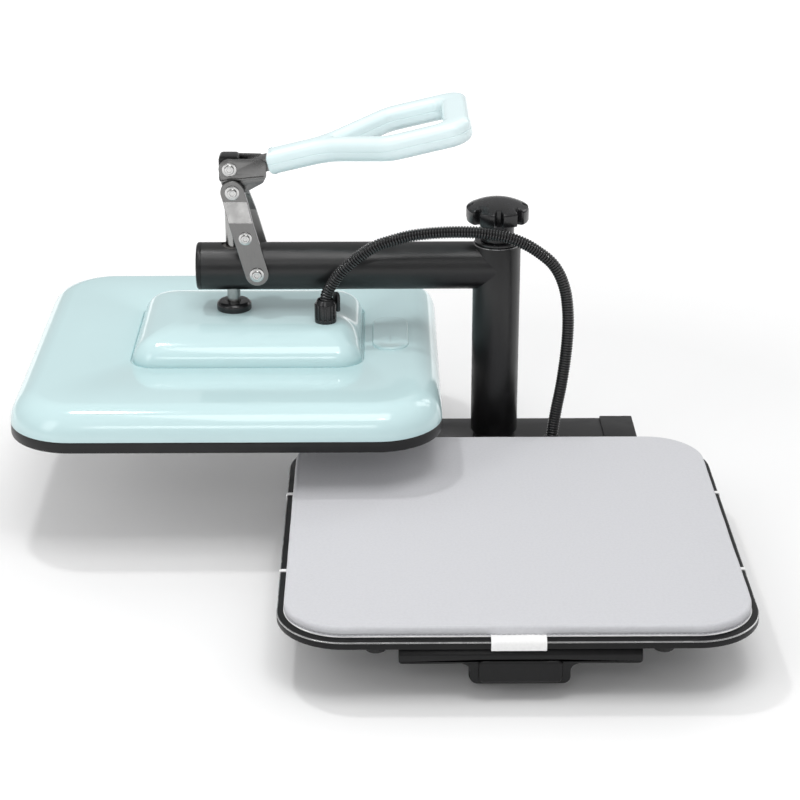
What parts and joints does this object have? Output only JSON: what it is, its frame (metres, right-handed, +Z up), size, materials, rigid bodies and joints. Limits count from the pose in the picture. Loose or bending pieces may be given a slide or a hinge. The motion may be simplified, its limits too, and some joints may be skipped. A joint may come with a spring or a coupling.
{
  "type": "flat heat press",
  "caption": "Swing-away flat heat press with a padded square lower platen, a heated head on a column arm, a D-handle toggle lever and a ribbed hose.",
  "frame": {"origin": "the column axis on the floor, at the underside of the rear foot strip", "axes": "+Z up; -X along the arm in the pictured pose; -Y from the column towards the lower platen"},
  "size_m": [0.6418, 0.6418, 0.3748],
  "materials": {
    "black_paint": "satin powder coat",
    "black_plastic": "moulded, fine grain",
    "black_rubber": "matte",
    "mint_cover": "smooth gloss",
    "mint_grip": "smooth gloss",
    "strap_steel": "zinc plated, brushed",
    "bright_steel": "bright plated",
    "pad_fabric": "fine grey heat-proof cover over foam",
    "white_elastic": "woven elastic",
    "hose_plastic": "ribbed conduit",
    "bush_plastic": "plain bearing plastic",
    "green_board": "circuit board",
    "red_plastic": "smooth",
    "board_fibre": "pressed insulation",
    "cast_aluminium": "machined face"
  },
  "bodies": {
    "base": {"rear_beam": "black_paint", "beam_end_caps": "black_plastic", "beam_bottom_covers": "black_paint", "base_spine": "black_paint", "spine_front_cap": "black_plastic", "front_bracket": "black_paint", "rear_bracket": "black_paint", "lower_platen": "black_paint", "platen_screws": "bright_steel", "platen_bumpers": "black_rubber", "press_pad": "pad_fabric", "pad_loops": "white_elastic", "pad_tag": "white_elastic", "foot_pads": "black_rubber", "swivel_post": "black_paint", "post_bolts": "bright_steel", "post_insert": "bright_steel", "swing_washer": "black_plastic", "hose_base_gland": "black_plastic", "hose": "hose_plastic", "power_board": "green_board", "power_inlet": "black_plastic", "switch_bezel": "black_plastic"},
    "arm": {"column_sleeve": "black_paint", "lower_bush": "bush_plastic", "upper_bush": "bush_plastic", "arm_tube": "black_paint", "arm_end_plug": "black_plastic", "plunger_guide": "bush_plastic", "strap_pivot_bolt": "bright_steel"},
    "straps": {"front_strap": "strap_steel", "rear_strap": "strap_steel", "strap_tie_bolt": "bright_steel", "strap_upper_bolts": "bright_steel"},
    "handle": {"handle_cheeks": "strap_steel", "handle_tang": "strap_steel", "handle_grip": "mint_grip", "lever_pin": "bright_steel"},
    "head": {"rod_eye": "black_paint", "plunger_rod": "bright_steel", "plunger_collar": "black_plastic", "head_cover": "mint_cover", "inner_cover": "mint_cover", "cover_tab": "mint_cover", "platen_rim": "black_plastic", "heat_platen": "cast_aluminium", "heating_element": "strap_steel", "insulation_board": "board_fibre", "mount_plate": "strap_steel", "platen_pillars": "strap_steel", "pillar_screws": "bright_steel", "thermostat": "board_fibre", "control_board": "green_board", "hose_gland": "black_plastic", "gland_latch": "black_plastic"},
    "knob_ring": {"knob_washer": "bright_steel"},
    "knob": {"star_knob": "black_plastic", "knob_stud": "bright_steel"},
    "rocker": {"switch_rocker": "red_plastic"}
  },
  "joints": [
    {"name": "arm_swing", "type": "hinge", "parent": "base", "child": "arm", "pos_m": [0, 0, 0.21956], "axis": [0, 0, 1], "range_deg": [-45, 90], "deforming": ["hose"]},
    {"name": "press_stroke", "type": "slide", "parent": "arm", "child": "head", "axis": [0, 0, -1], "range_m": [0, 0.04226]},
    {"name": "handle_lever", "type": "hinge", "parent": "head", "child": "handle", "pos_m": [-0.25, 0, 0.3174], "axis": [0, -1, 0], "range_deg": [0, 180.05]},
    {"name": "strap_swing", "type": "hinge", "parent": "arm", "child": "straps", "pos_m": [-0.226, 0, 0.21956], "axis": [0, -1, 0], "range_deg": [0, 3.73]},
    {"name": "knob_rise", "type": "slide", "parent": "base", "child": "knob_ring", "axis": [0, 0, 1], "range_m": [0, 0.003]},
    {"name": "knob_turn", "type": "hinge", "parent": "knob_ring", "child": "knob", "pos_m": [0, 0, 0.26], "axis": [0, 0, 1], "range_deg": [0, 720.2]},
    {"name": "switch_rock", "type": "hinge", "parent": "base", "child": "rocker", "pos_m": [0.048, 0.039, 0.02425], "axis": [-1, 0, 0], "range_deg": [0, 16]}
  ],
  "couplings": [
    {"joint": "handle_lever", "follows": "press_stroke", "rad_per_m": 74.343},
    {"joint": "strap_swing", "follows": "press_stroke", "rad_per_m": 1.5407},
    {"joint": "knob_turn", "follows": "knob_rise", "rad_per_m": 4188.8}
  ]
}
